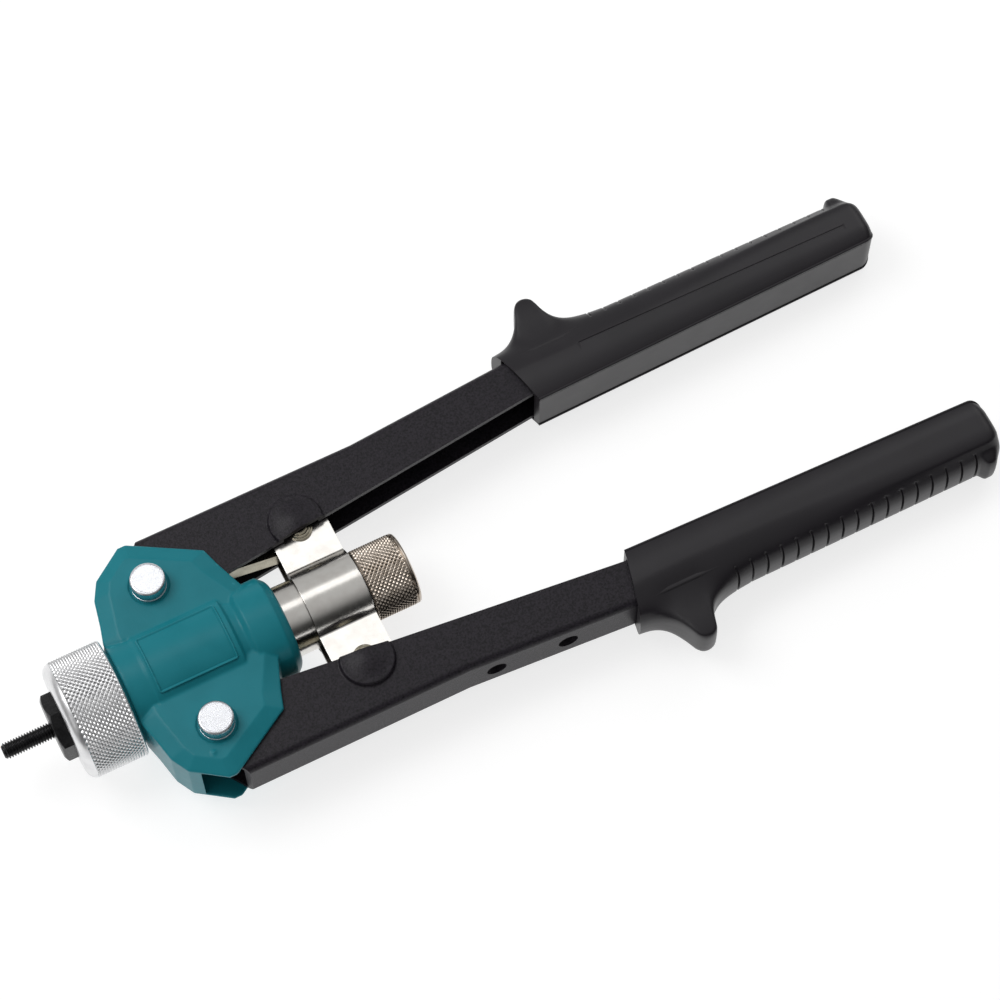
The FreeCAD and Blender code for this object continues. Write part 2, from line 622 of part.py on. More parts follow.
def build_grip(label, side):
    body = new_body(label)
    plan = new_sketch(body)
    draw_outline(plan, [(across, f"{side} * ({up})") for across, up in grip_outline])
    pad(body, plan, "2 * grip_half")
    dress(body, "Chamfer", "grip_half * 0.4", lambda edge: is_grip_rim(edge, side))
    for level in (1, -1):
        shoulder = new_sketch(body, height=f"{level} * horn_half")
        draw_outline(shoulder, sided([
            ("grip_front - 12", "grip_outer + 0.6"), ("grip_front + 26", "grip_outer + 0.6"),
            ("grip_front + 26", "horn_tip + 2"), ("grip_front - 12", "horn_tip + 2"),
        ], side))
        pocket(body, shoulder, "grip_half", midplane=False, reverse=level > 0)
    cavity = new_sketch(body)
    inner = "web_front_y - 11.7 - 0.1"
    draw_outline(cavity, [
        ("grip_front - 20", f"{side} * (web_front_y + 3.1)"),
        ("grip_front - 6", f"{side} * (web_front_y + 4.5)"),
        ("arm_rear + 0.2", f"{side} * (web_rear_y + 0.1)"),
        ("arm_rear + 0.2", f"{side} * (web_rear_y - 13.8)"),
        ("grip_front - 2", f"{side} * ({inner})"),
        ("grip_front - 20", f"{side} * ({inner} - 2)"),
    ])
    pocket(body, cavity, "2 * (arm_half + 0.1)")
    return body


# --------------------------------------------------------------- the assembly

build_head()
build_nose()
build_drive()
build_yoke()
build_yoke_pins()
build_links()
build_arms()
build_clips()
build_grip("grip_right", 1)
build_grip("grip_left", -1)
doc.recompute()

for item in doc.Objects:
    if "Invalid" in item.State or "Error" in item.State:
        raise RuntimeError(f"{item.Name} ({item.Label}) failed: {item.State}")

os.makedirs("parts", exist_ok=True)
for name in node_names:
    shape = doc.getObjectsByLabel(name)[0].Shape
    if shape.isNull() or not shape.isValid():
        raise RuntimeError(f"{name} has no valid shape")
    shape.exportStep(f"parts/{name}.step")
    bounds = shape.BoundBox
    print(f"{name:18s} solids {len(shape.Solids)} volume {shape.Volume:10.1f} "
          f"x {bounds.XMin:7.1f} {bounds.XMax:7.1f} y {bounds.YMin:6.1f} {bounds.YMax:6.1f} "
          f"z {bounds.ZMin:6.1f} {bounds.ZMax:6.1f}")
print(f"{len(node_names)} nodes written")
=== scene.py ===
import json
import math

import bmesh
import bpy
import numpy
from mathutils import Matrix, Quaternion, Vector

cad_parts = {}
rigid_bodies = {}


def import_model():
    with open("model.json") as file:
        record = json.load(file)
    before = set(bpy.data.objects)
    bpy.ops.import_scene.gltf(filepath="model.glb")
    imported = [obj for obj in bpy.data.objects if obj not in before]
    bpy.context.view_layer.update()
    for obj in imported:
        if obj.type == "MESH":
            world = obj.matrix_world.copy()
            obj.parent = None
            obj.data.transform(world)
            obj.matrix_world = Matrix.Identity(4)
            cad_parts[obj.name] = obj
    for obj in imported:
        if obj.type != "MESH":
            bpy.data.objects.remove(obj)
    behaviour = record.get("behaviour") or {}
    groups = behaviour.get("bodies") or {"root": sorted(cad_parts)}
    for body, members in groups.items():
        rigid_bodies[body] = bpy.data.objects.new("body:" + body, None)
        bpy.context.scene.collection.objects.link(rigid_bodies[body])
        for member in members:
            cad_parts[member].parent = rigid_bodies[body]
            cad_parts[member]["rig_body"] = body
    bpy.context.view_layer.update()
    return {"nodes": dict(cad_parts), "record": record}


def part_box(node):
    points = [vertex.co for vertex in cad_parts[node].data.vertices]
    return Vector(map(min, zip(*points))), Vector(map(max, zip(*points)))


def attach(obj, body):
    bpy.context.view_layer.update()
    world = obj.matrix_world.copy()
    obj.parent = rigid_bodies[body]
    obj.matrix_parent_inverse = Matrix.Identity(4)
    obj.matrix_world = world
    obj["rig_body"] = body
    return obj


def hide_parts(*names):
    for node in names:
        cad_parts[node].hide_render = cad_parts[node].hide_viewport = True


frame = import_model()
nodes = frame["nodes"]
mm = 0.001  # sizes below are in millimetres, and meshes are scaled when they are made
print("frame loaded:", len(nodes), "nodes")


# The camera looks down on the tool from the nose end, over the left arm.
shot = {"aim": (174.3, 8.15, 0), "distance": 1145.3, "azimuth": -26.26, "elevation": 66,
        "roll": -0.375, "lens": 117.67, "sensor": 36, "clipStart": 0.05}


def placeCamera():
    azimuth = math.radians(shot["azimuth"])
    elevation = math.radians(shot["elevation"])
    level = math.cos(elevation)
    back = Vector((math.sin(azimuth) * level, -math.cos(azimuth) * level, math.sin(elevation)))
    lens = bpy.data.cameras.new("benchCamera")
    lens.lens = shot["lens"]
    lens.sensor_width = shot["sensor"]
    lens.clip_start = shot["clipStart"]
    camera = bpy.data.objects.new("benchCamera", lens)
    bpy.context.scene.collection.objects.link(camera)
    camera.location = (Vector(shot["aim"]) + back * shot["distance"]) * mm
    camera.rotation_mode = "QUATERNION"
    roll = Quaternion((0, 0, 1), math.radians(shot["roll"]))
    camera.rotation_quaternion = (-back).to_track_quat("-Z", "Y") @ roll
    bpy.context.scene.camera = camera


# Soft light from above and behind; the sky in front stays dark, and the polished metal mirrors it.
studio = {
    "skyUp": (-0.05, 0.42, 0.78), "skyStrength": 0.46, "backdrop": 0.98,
    "sky": [(-1.0, 0.3), (-0.6, 0.05), (-0.05, 0.02), (0.15, 0.12), (0.4, 0.7), (0.6, 1.0)],
    "strip": {"place": (310, 338, 850), "size": 420, "depth": 330, "power": 0.38},
    "softbox": {"place": (-330, 420, 880), "size": 640, "depth": 640, "power": 5.0},
    "sideBox": {"place": (-700, -250, 380), "size": 420, "depth": 420, "power": 0.3},
    "lowBox": {"place": (60, -700, 110), "size": 760, "depth": 110, "power": 0.35},
    "rearBox": {"place": (700, 300, 500), "size": 420, "depth": 420, "power": 0.6},
    "floor": (0.36, 0.36, 0.36), "floorGlow": 0.76, "floorReach": 2500, "floorGap": 0.05,
    "floorRoughness": 0.9, "floorSpecular": 0.2,
}


def lightWorld():
    world = bpy.data.worlds.new("studioSky")
    bpy.context.scene.world = world
    world.use_nodes = True
    tree = world.node_tree
    tree.nodes.clear()
    place = tree.nodes.new("ShaderNodeTexCoord")
    lean = tree.nodes.new("ShaderNodeVectorMath")
    height = tree.nodes.new("ShaderNodeMapRange")
    ramp = tree.nodes.new("ShaderNodeValToRGB")
    lit = tree.nodes.new("ShaderNodeBackground")
    seen = tree.nodes.new("ShaderNodeBackground")
    path = tree.nodes.new("ShaderNodeLightPath")
    blend = tree.nodes.new("ShaderNodeMixShader")
    out = tree.nodes.new("ShaderNodeOutputWorld")
    lean.operation = "DOT_PRODUCT"
    lean.inputs[1].default_value = studio["skyUp"]
    height.inputs["From Min"].default_value = -1
    stops = ramp.color_ramp.elements
    while len(stops) < len(studio["sky"]):
        stops.new(1)
    for stop, (level, grey) in zip(stops, studio["sky"]):
        stop.position = (level + 1) / 2
        stop.color = (grey, grey, grey, 1)
    lit.inputs["Strength"].default_value = studio["skyStrength"]
    shade = studio["backdrop"]
    seen.inputs["Color"].default_value = (shade, shade, shade, 1)
    tree.links.new(place.outputs["Generated"], lean.inputs[0])
    tree.links.new(lean.outputs["Value"], height.inputs["Value"])
    tree.links.new(height.outputs[0], ramp.inputs[0])
    tree.links.new(ramp.outputs[0], lit.inputs["Color"])
    tree.links.new(path.outputs["Is Camera Ray"], blend.inputs[0])
    tree.links.new(lit.outputs[0], blend.inputs[1])
    tree.links.new(seen.outputs[0], blend.inputs[2])
    tree.links.new(blend.outputs[0], out.inputs[0])


def placeLight(name):
    values = studio[name]
    lamp = bpy.data.lights.new(name, "AREA")
    lamp.shape = "RECTANGLE"
    lamp.size = values["size"] * mm
    lamp.size_y = values["depth"] * mm
    lamp.energy = values["power"]
    box = bpy.data.objects.new(name, lamp)
    bpy.context.scene.collection.objects.link(box)
    box.location = Vector(values["place"]) * mm
    aim = Vector((shot["aim"][0], 0, 0)) * mm
    box.rotation_mode = "QUATERNION"
    if name != "strip":  # the strip hangs level, and the others face the tool
        box.rotation_quaternion = (aim - box.location).to_track_quat("-Z", "Y")


def layFloor():
    # the tool rests on its collar and on its grips' ends, so the floor tilts a little in its frame
    collarLow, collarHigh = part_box("nose_collar")
    gripLow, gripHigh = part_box("grip_right")
    front = Vector((collarHigh.x, collarLow.z))
    rear = Vector((gripHigh.x, gripLow.z))
    slope = (rear.y - front.y) / (rear.x - front.x)
    reach = studio["floorReach"] * mm
    corners = []
    for across, along in ((-1, -1), (1, -1), (1, 1), (-1, 1)):
        x = across * reach
        corners.append((x, along * reach, front.y + slope * (x - front.x) - studio["floorGap"] * mm))
    mesh = bpy.data.meshes.new("floor")
    mesh.from_pydata(corners, [], [(0, 1, 2, 3)])
    floor = bpy.data.objects.new("floor", mesh)
    bpy.context.scene.collection.objects.link(floor)
    paper = bpy.data.materials.new("paleBench")
    paper.use_nodes = True
    shader = paper.node_tree.nodes["Principled BSDF"]
    shader.inputs["Base Color"].default_value = (*studio["floor"], 1)
    shader.inputs["Roughness"].default_value = studio["floorRoughness"]
    shader.inputs["Specular IOR Level"].default_value = studio["floorSpecular"]
    shader.inputs["Emission Color"].default_value = (1, 1, 1, 1)
    shader.inputs["Emission Strength"].default_value = studio["floorGlow"]
    mesh.materials.append(paper)


placeCamera()
lightWorld()
for name in ("strip", "softbox", "sideBox", "lowBox", "rearBox"):
    placeLight(name)
layFloor()
print("camera, light and floor placed")


# Each finish is two close colours, a wandering roughness and a fine grain.
finishes = {
    # the edge setting paints a highlight along raised edges, on the teal paint and on the black oxide
    "teal_paint": {"colour": (0.013, 0.205, 0.25), "deep": (0.01, 0.19, 0.232), "roughness": 0.33,
                   "spread": 0.05, "blotch": 9, "grain": 0.9, "depth": 0.025, "specular": 0.18, "edgeHighlight": 0.3},
    "bright_zinc": {"colour": (0.76, 0.77, 0.8), "deep": (0.7, 0.71, 0.74), "metal": 1,
                    "roughness": 0.27, "spread": 0.08, "blotch": 3, "grain": 0.25, "depth": 0.006},
    "spring_steel": {"colour": (0.25, 0.25, 0.26), "deep": (0.16, 0.16, 0.17), "metal": 1,
                     "roughness": 0.35, "spread": 0.1, "blotch": 3, "grain": 0.2, "depth": 0.004},
    "machined_aluminium": {"colour": (0.8, 0.8, 0.805), "deep": (0.71, 0.71, 0.72), "metal": 1,
                           "roughness": 0.34, "spread": 0.08, "blotch": 4, "grain": 0.12, "depth": 0.004,
                           "turned": 0.35},
    "black_oxide": {"colour": (0.02, 0.02, 0.021), "deep": (0.008, 0.008, 0.009), "metal": 0.6,
                    "roughness": 0.3, "spread": 0.12, "blotch": 2, "grain": 0.2, "depth": 0.005, "edgeHighlight": 0.1},
    "black_powder_coat": {"colour": (0.021, 0.0175, 0.0235), "deep": (0.0045, 0.004, 0.0055), "metal": 0,
                          "roughness": 0.4, "spread": 0.12, "blotch": 0.75, "grain": 0.45, "depth": 0.1,
                          "specular": 0.22},
    "grip_plastic": {"colour": (0.0125, 0.0105, 0.0138), "deep": (0.01, 0.0085, 0.0112), "metal": 0,
                     "roughness": 0.36, "spread": 0.05, "blotch": 20, "grain": 0.35, "depth": 0.006,
                     "specular": 0.42},
    "bronze": {"colour": (0.55, 0.36, 0.16), "deep": (0.4, 0.25, 0.1), "metal": 1, "roughness": 0.4,
               "spread": 0.1, "blotch": 2, "grain": 0.2, "depth": 0.01},
    "plain_steel": {"colour": (0.6, 0.6, 0.61), "deep": (0.48, 0.48, 0.49), "metal": 1, "roughness": 0.28,
                    "spread": 0.1, "blotch": 3, "grain": 0.2, "depth": 0.004, "turned": 0.2},
    "bright_nickel": {"colour": (0.86, 0.84, 0.8), "deep": (0.78, 0.75, 0.71), "metal": 1,
                      "roughness": 0.2, "spread": 0.05, "blotch": 5, "grain": 0.3, "depth": 0.002},
    "dull_nickel": {"colour": (0.42, 0.385, 0.3), "deep": (0.28, 0.25, 0.19), "metal": 1,
                    "roughness": 0.24, "spread": 0.08, "blotch": 4, "grain": 0.2, "depth": 0.004},
    # painted shade: a dark nickel for the crosshead plates' front edge and inner faces, which stand in shade
    "painted_shade_nickel": {"colour": (0.07, 0.062, 0.052), "deep": (0.03, 0.027, 0.023), "metal": 1,
                  "roughness": 0.4, "spread": 0.1, "blotch": 2, "grain": 0.2, "depth": 0.006},
    "warm_nickel": {"colour": (0.58, 0.51, 0.44), "deep": (0.42, 0.36, 0.3), "metal": 1,
                    "roughness": 0.26, "spread": 0.08, "blotch": 3, "grain": 0.15, "depth": 0.004},
}


def slotOf(node):
    return next(item["material_slot"] for item in frame["record"]["subparts"] if item["node"] == node)


def noiseAt(tree, size, place, detail=3):
    noise = tree.nodes.new("ShaderNodeTexNoise")
    noise.inputs["Scale"].default_value = 1 / (size * mm)
    noise.inputs["Detail"].default_value = detail
    tree.links.new(place, noise.inputs["Vector"])
    return noise.outputs[0]


# what all finishes share: where the colours meet, how raised edges get their painted highlight, and the lathe
# rings' stretch
shared = {"meet": (0.3, 0.6), "highlightReach": (0.52, 0.62), "paler": 1.6, "lift": 0.05,
          "patchShare": 0.37, "ringStretch": 0.01}


def makeFinish(name):
    look = finishes[name]
    material = bpy.data.materials.new(name + "Finish")
    material.use_nodes = True
    tree = material.node_tree
    shader = tree.nodes["Principled BSDF"]
    place = tree.nodes.new("ShaderNodeTexCoord").outputs["Object"]

    # colour drifts slowly between its two values
    blotch = noiseAt(tree, look["blotch"], place)
    colours = tree.nodes.new("ShaderNodeMix")
    colours.data_type = "RGBA"
    colours.inputs[6].default_value = (*look["deep"], 1)
    colours.inputs[7].default_value = (*look["colour"], 1)
    firm = tree.nodes.new("ShaderNodeMapRange")
    firm.inputs["From Min"].default_value = shared["meet"][0]
    firm.inputs["From Max"].default_value = shared["meet"][1]
    tree.links.new(blotch, firm.inputs["Value"])
    tree.links.new(firm.outputs[0], colours.inputs["Factor"])
    colour = colours.outputs[2]

    # raised edges are painted paler: a painted highlight along the edges
    if look.get("edgeHighlight"):
        edge = tree.nodes.new("ShaderNodeNewGeometry").outputs["Pointiness"]
        highlightReach = tree.nodes.new("ShaderNodeMapRange")
        highlightReach.inputs["From Min"].default_value = shared["highlightReach"][0]
        highlightReach.inputs["From Max"].default_value = shared["highlightReach"][1]
        highlightReach.inputs["To Max"].default_value = look["edgeHighlight"]
        paler = tree.nodes.new("ShaderNodeMix")
        paler.data_type = "RGBA"
        bright = [min(1, channel * shared["paler"] + shared["lift"]) for channel in look["colour"]]
        paler.inputs[7].default_value = (*bright, 1)
        tree.links.new(edge, highlightReach.inputs["Value"])
        tree.links.new(highlightReach.outputs[0], paler.inputs["Factor"])
        tree.links.new(colour, paler.inputs[6])
        colour = paler.outputs[2]
    tree.links.new(colour, shader.inputs["Base Color"])

    # roughness wanders with a patch of its own size
    patches = tree.nodes.new("ShaderNodeMapRange")
    patches.inputs["To Min"].default_value = look["roughness"] - look["spread"]
    patches.inputs["To Max"].default_value = look["roughness"] + look["spread"]
    tree.links.new(noiseAt(tree, look["blotch"] * shared["patchShare"], place), patches.inputs["Value"])
    tree.links.new(patches.outputs[0], shader.inputs["Roughness"])

    # fine grain, and lathe rings on turned parts
    height = noiseAt(tree, look["grain"], place, 2)
    if look.get("turned"):
        squeeze = tree.nodes.new("ShaderNodeMapping")
        squeeze.inputs["Scale"].default_value = (1, shared["ringStretch"], shared["ringStretch"])
        tree.links.new(place, squeeze.inputs["Vector"])
        rings = noiseAt(tree, look["turned"], squeeze.outputs[0], 1)
        both = tree.nodes.new("ShaderNodeMath")
        both.operation = "ADD"
        tree.links.new(height, both.inputs[0])
        tree.links.new(rings, both.inputs[1])
        height = both.outputs[0]
    bump = tree.nodes.new("ShaderNodeBump")
    bump.inputs["Distance"].default_value = look["depth"] * mm
    tree.links.new(height, bump.inputs["Height"])
    tree.links.new(bump.outputs[0], shader.inputs["Normal"])
    shader.inputs["Metallic"].default_value = look.get("metal", 0)
    shader.inputs["Specular IOR Level"].default_value = look.get("specular", 0.5)
    return material


bpy.context.scene.view_settings.view_transform = "Standard"
materials = {name: makeFinish(name) for name in finishes}
for name, node in nodes.items():
    for index in range(len(node.data.materials)):
        node.material_slots[index].material = materials[slotOf(name)]
print("finishes made:", len(materials))


# how close corners are welded, and which angles count as flat or sharp
meshing = {"weld": 0.002, "cadWeld": 0.004, "thinnest": 0.002, "flat": 0.6, "sharp": 28,
           "profile": 0.6, "crease": 35, "weight": 90}


def placePiece(name, mesh, node, crease=40, finish=None):
    # the new piece takes over one node's place, body and finish
    mesh.materials.clear()
    mesh.materials.append(materials[finish or slotOf(node)])
    mesh.shade_smooth()
    mesh.set_sharp_from_angle(angle=math.radians(crease))
    piece = bpy.data.objects.new(name, mesh)
    bpy.context.scene.collection.objects.link(piece)
    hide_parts(node)
    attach(piece, nodes[node]["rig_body"])
    return piece


def meshFromRings(name, rings, closed=False, capped=True, lap=0):
    # quads between rings of equal length; lap joins each ring's end to the start of a later ring
    rings = numpy.asarray(rings, float)
    rows, columns = rings.shape[:2]
    faces = []
    for row in range(rows if closed else rows - 1 - lap):
        after = (row + 1) % rows
        for column in range(columns):
            beside = (column + 1) % columns
            skip = lap if beside == 0 else 0
            faces.append((row * columns + column, (row + skip) * columns + beside,
                          (after + skip) * columns + beside, after * columns + column))
    mesh = bpy.data.meshes.new(name)
    mesh.from_pydata([tuple(point) for point in rings.reshape(-1, 3) * mm], [], faces)
    solid = bmesh.new()
    solid.from_mesh(mesh)
    bmesh.ops.remove_doubles(solid, verts=solid.verts, dist=meshing["weld"] * mm)
    if capped:
        bmesh.ops.holes_fill(solid, edges=solid.edges, sides=0)
    bmesh.ops.recalc_face_normals(solid, faces=solid.faces)
    solid.to_mesh(mesh)
    solid.free()
    return mesh


def smoothStep(value, low, high):
    share = numpy.clip((numpy.asarray(value, float) - low) / (high - low), 0, 1)
    return share * share * (3 - 2 * share)


def ringAt(x, radius, angles):
    radius = radius + 0 * angles
    return numpy.stack([x + 0 * angles, -radius * numpy.sin(angles), radius * numpy.cos(angles)], 1)


def knurl(angles, x, look):
    # two crossed sets of V grooves leave small pyramids
    turn = look["teeth"] * angles / (2 * math.pi)
    first = (turn + x / look["pitch"]) % 1
    second = (turn - x / look["pitch"]) % 1
    groove = numpy.maximum(abs(2 * first - 1), abs(2 * second - 1))
    return -look["depth"] * smoothStep(groove, look["flat"], 1) ** look["sharpness"]


def knurledTurning(name, node, look):
    perTooth = look["perTooth"]
    angles = numpy.arange(look["teeth"] * perTooth) * 2 * math.pi / (look["teeth"] * perTooth)
    rings = [ringAt(x, radius, angles) for x, radius in look["before"]]
    step = look["pitch"] / perTooth
    start, end = look["knurled"]
    fade = look["fade"]
    for x in numpy.arange(start, end + step / 2, step):
        shown = smoothStep(x, start, start + fade) * smoothStep(end - x, 0, fade)
        low = look["relief"] * (1 - shown)
        rings.append(ringAt(x, look["radius"] + shown * knurl(angles, x, look) - low, angles))
    rings += [ringAt(x, radius, angles) for x, radius in look["after"]]
    return placePiece(name, meshFromRings(name, rings, closed=True, capped=False), node, look["crease"])


def freshMesh(name, node):
    # the node's shape as one welded skin, without the split corners that its own mesh has
    source = nodes[node].data
    mesh = bpy.data.meshes.new(name)
    corners = [tuple(vertex.co) for vertex in source.vertices]
    mesh.from_pydata(corners, [], [tuple(face.vertices) for face in source.polygons])
    solid = bmesh.new()
    solid.from_mesh(mesh)
    bmesh.ops.remove_doubles(solid, verts=solid.verts, dist=meshing["cadWeld"] * mm)
    bmesh.ops.dissolve_degenerate(solid, edges=solid.edges, dist=meshing["thinnest"] * mm)
    bmesh.ops.recalc_face_normals(solid, faces=solid.faces)
    return mesh, solid


def brokenSolid(name, node, width):
    # sharp edges broken, as sheared and turned parts have them
    mesh, solid = freshMesh(name, node)
    bmesh.ops.dissolve_limit(solid, angle_limit=math.radians(meshing["flat"]), verts=solid.verts,
                             edges=solid.edges, use_dissolve_boundaries=False)
    sharp = [edge for edge in solid.edges
             if edge.is_manifold and edge.calc_face_angle(0) > math.radians(meshing["sharp"])]
    bmesh.ops.bevel(solid, geom=sharp, offset=width * mm, segments=2, profile=meshing["profile"],
                    affect="EDGES", clamp_overlap=True, loop_slide=True)
    return mesh, solid


def splitLarge(solid):
    bmesh.ops.triangulate(solid, faces=[face for face in solid.faces if len(face.verts) > 4])


def flatten(piece):
    # large flat faces keep their own normals beside the small bevels
    weigh = piece.modifiers.new("weigh", "WEIGHTED_NORMAL")
    weigh.mode = "FACE_AREA"
    weigh.weight = meshing["weight"]
    weigh.keep_sharp = True
    return piece


def breakEdges(name, node, width, finish=None):
    mesh, solid = brokenSolid(name, node, width)
    splitLarge(solid)
    solid.to_mesh(mesh)
    solid.free()
    return flatten(placePiece(name, mesh, node, meshing["crease"], finish))


# The head is a casting with soft edges, and a raised border on its barrel.
headLook = {
    "voxel": 0.4, "smoothing": 3, "barrel": 19.0, "bore": 13.1, "spigot": 16.95, "spigotEnd": 27.2,
    "step": 0.35, "stepFrom": (35.2, 35.9), "stepReach": (19.1, 19.7),
    "panel": (37.5, 66.0), "panelHalf": 11.0, "panelCorner": 0.7,
    "bead": [(-0.7, -0.25), (-0.56, 0.0), (-0.4, 0.2), (-0.24, 0.46), (-0.09, 0.56), (0.09, 0.56),
             (0.24, 0.46), (0.4, 0.2), (0.56, 0.0), (0.7, -0.25)],
    "rib": ((44.9, -36.6, 14.0), (43.1, -42.6, 11.3)), "ribHalf": 0.8,
    "boreGuard": (2, 4), "boreNear": 0.5, "spigotGuard": 0.6, "softening": 0.5, "ribSides": 12,
    "cornerSteps": 6, "beadStep": 1.0, "crease": 60,
}


def panelLine(look):
    # the panel's outline: along the barrel, and round it as an arc's length
    start, end = look["panel"]
    half = look["panelHalf"]
    corner = look["panelCorner"]
    line = []
    for cornerX, cornerS, first in ((end - corner, half - corner, 0), (start + corner, half - corner, 90),
                                    (start + corner, corner - half, 180), (end - corner, corner - half, 270)):
        for step in range(look["cornerSteps"] + 1):
            turn = math.radians(first + 90 / look["cornerSteps"] * step)
            line.append((cornerX + corner * math.cos(turn), cornerS + corner * math.sin(turn),
                         math.cos(turn), math.sin(turn)))
    dense = []
    for index, point in enumerate(line):
        following = line[(index + 1) % len(line)]
        gap = math.dist(point[:2], following[:2])
        count = max(1, round(gap / look["beadStep"]))
        for step in range(count):
            share = step / count
            dense.append([a + (b - a) * share for a, b in zip(point, following)])
    return dense


def buildBead(solid, look, face):
    # one bead on the barrel's top, or on its underside
    rings = []
    for x, arc, outX, outArc in panelLine(look):
        ring = []
        for across, height in look["bead"]:
            radius = look["barrel"] + height
            turn = (arc + outArc * across) / look["barrel"]
            ring.append((x + outX * across, radius * math.sin(turn), face * radius * math.cos(turn)))
        rings.append(ring)
    bead = meshFromRings("bead", rings, closed=True, capped=False)
    solid.from_mesh(bead)
    bpy.data.meshes.remove(bead)


def buildHead(name, node):
    look = headLook
    mesh, solid = freshMesh(name, node)
    start, end = (Vector(place) * mm for place in look["rib"])
    lean = (end - start).to_track_quat("Z", "Y").to_matrix().to_4x4()
    lean.translation = (start + end) / 2
    bmesh.ops.create_cone(solid, cap_ends=True, segments=look["ribSides"], radius1=look["ribHalf"] * mm,
                          radius2=look["ribHalf"] * mm, depth=(end - start).length, matrix=lean)
    bmesh.ops.triangulate(solid, faces=solid.faces)
    solid.to_mesh(mesh)
    solid.free()
    draft = bpy.data.objects.new(name + "Draft", mesh)
    bpy.context.scene.collection.objects.link(draft)
    remesh = draft.modifiers.new("voxels", "REMESH")
    remesh.mode = "VOXEL"
    remesh.voxel_size = look["voxel"] * mm
    soften = draft.modifiers.new("soften", "SMOOTH")
    soften.factor = look["softening"]
    soften.iterations = look["smoothing"]
    ready = draft.evaluated_get(bpy.context.evaluated_depsgraph_get())
    skin = bpy.data.meshes.new_from_object(ready)
    bpy.data.objects.remove(draft)

    # true radii for the barrel's step, the bore and the spigot
    flat = numpy.empty(len(skin.vertices) * 3)
    skin.vertices.foreach_get("co", flat)
    points = flat.reshape(-1, 3) / mm
    radius = numpy.hypot(points[:, 1], points[:, 2])
    near = 1 - smoothStep(radius, *look["stepReach"])
    guard = [look["bore"] + margin for margin in look["boreGuard"]]
    near *= smoothStep(radius, *guard)
    narrow = look["step"] * near * (1 - smoothStep(points[:, 0], *look["stepFrom"]))
    goal = radius - narrow * (points[:, 0] > look["spigotEnd"])
    inBore = goal < look["bore"] + look["boreNear"]
    goal = numpy.where(inBore, numpy.maximum(goal, look["bore"]), goal)
    onSpigot = points[:, 0] < look["spigotEnd"] - look["spigotGuard"]
    goal = numpy.where(onSpigot, numpy.minimum(goal, look["spigot"]), goal)
    points[:, 1:] *= (goal / numpy.maximum(radius, 0.001))[:, None]
    skin.vertices.foreach_set("co", (points * mm).ravel())
    solid = bmesh.new()
    solid.from_mesh(skin)
    for face in (1, -1):
        buildBead(solid, look, face)
    solid.to_mesh(skin)
    solid.free()
    skin.name = name
    return placePiece(name, skin, node, look["crease"])


buildHead("castHead", "head_casting")
print("head cast")


# Plain parts only have their edges broken.
brokenEdges = {
    "nosepiece": ("softNosepiece", 0.22, None),
    "link_right": ("softLinkRight", 0.3, "dull_nickel"),
    "link_left": ("softLinkLeft", 0.3, "dull_nickel"),
    "knob_screw": ("softKnobScrew", 0.15, None),
}
for node, (name, width, finish) in brokenEdges.items():
    breakEdges(name, node, width, finish)
print("edges broken:", len(brokenEdges))


# The crosshead plates are bright nickel outside; their sheared front edge and their inner faces get a dark
# nickel as painted shade.
yokeLook = {"edge": 0.12, "front": -0.7, "inside": -0.3}


def buildYokePlate(name, node, side):
    plate = breakEdges(name, node, yokeLook["edge"])
    plate.data.materials.append(materials["painted_shade_nickel"])
    for face in plate.data.polygons:
        # faces at the front and faces turned inwards take the painted shade
        if face.normal.x < yokeLook["front"] or face.normal.z * side < yokeLook["inside"]:
            face.material_index = 1


buildYokePlate("upperCrossPlate", "yoke_plate_upper", 1)
buildYokePlate("lowerCrossPlate", "yoke_plate_lower", -1)


# The crosshead rivets have stepped heads.
rivetLook = {
    "columns": 48,
    "steps": [(0, 4.3), (0.5, 4.3), (0.62, 4.05), (0.66, 3.6), (0.78, 3.5), (1.05, 3.5), (1.17, 3.3),
              (1.2, 2.75), (1.32, 2.6), (1.62, 2.5), (1.8, 2.15), (1.8, 1.5), (1.6, 1.2)],
}


def buildRivet(name, node):
    look = rivetLook
    low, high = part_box(node)
    centre = (low + high) / 2 / mm
    top = high.z / mm
    base = top - look["steps"][-2][0]
    profile = [(base + rise, radius) for rise, radius in look["steps"]]
    profile = [(-height, radius) for height, radius in reversed(profile)] + profile
    angles = numpy.arange(look["columns"]) * 2 * math.pi / look["columns"]
    rings = [numpy.stack([centre.x + radius * numpy.cos(angles), centre.y + radius * numpy.sin(angles),
                          height + 0 * angles], 1) for height, radius in profile]
    placePiece(name, meshFromRings(name, rings), node, 30, "dull_nickel")


buildRivet("steppedRivetRight", "yoke_pin_right")
buildRivet("steppedRivetLeft", "yoke_pin_left")
print("crosshead finished")


# The pivot pins are turned, with a flat disc inside a rounded rim.
pivotLook = {
    "columns": 72,
    "head": [(-6.3, 4.5), (-6.3, 6.1), (-5.2, 6.1), (-5.1, 5.8), (-4.7, 5.8), (-4.6, 6.12), (-0.75, 6.14),
             (-0.42, 6.05), (-0.2, 5.86), (-0.05, 5.6), (0, 5.4), (-0.16, 5.3), (-0.16, 5.05), (0, 4.95),
             (0, 2.0), (0, 0)],
    "tail": [(0, 0), (0, 3.9), (0.6, 4.5), (1.8, 4.5), (1.8, 3.8), (2.6, 3.8), (2.6, 4.5)],
}


def buildPivot(name, node):
    look = pivotLook
    low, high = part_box(node)
    centre = (low + high) / 2 / mm
    profile = [(low.z / mm + rise, radius) for rise, radius in look["tail"]]
    profile += [(high.z / mm + rise, radius) for rise, radius in look["head"]]
    angles = numpy.arange(look["columns"]) * 2 * math.pi / look["columns"]
    rings = [numpy.stack([centre.x + radius * numpy.cos(angles), centre.y + radius * numpy.sin(angles),
                          height + 0 * angles], 1) for height, radius in profile]
    placePiece(name, meshFromRings(name, rings), node, 25)


buildPivot("turnedPivotRight", "pivot_pin_right")
buildPivot("turnedPivotLeft", "pivot_pin_left")
print("pivot pins turned")


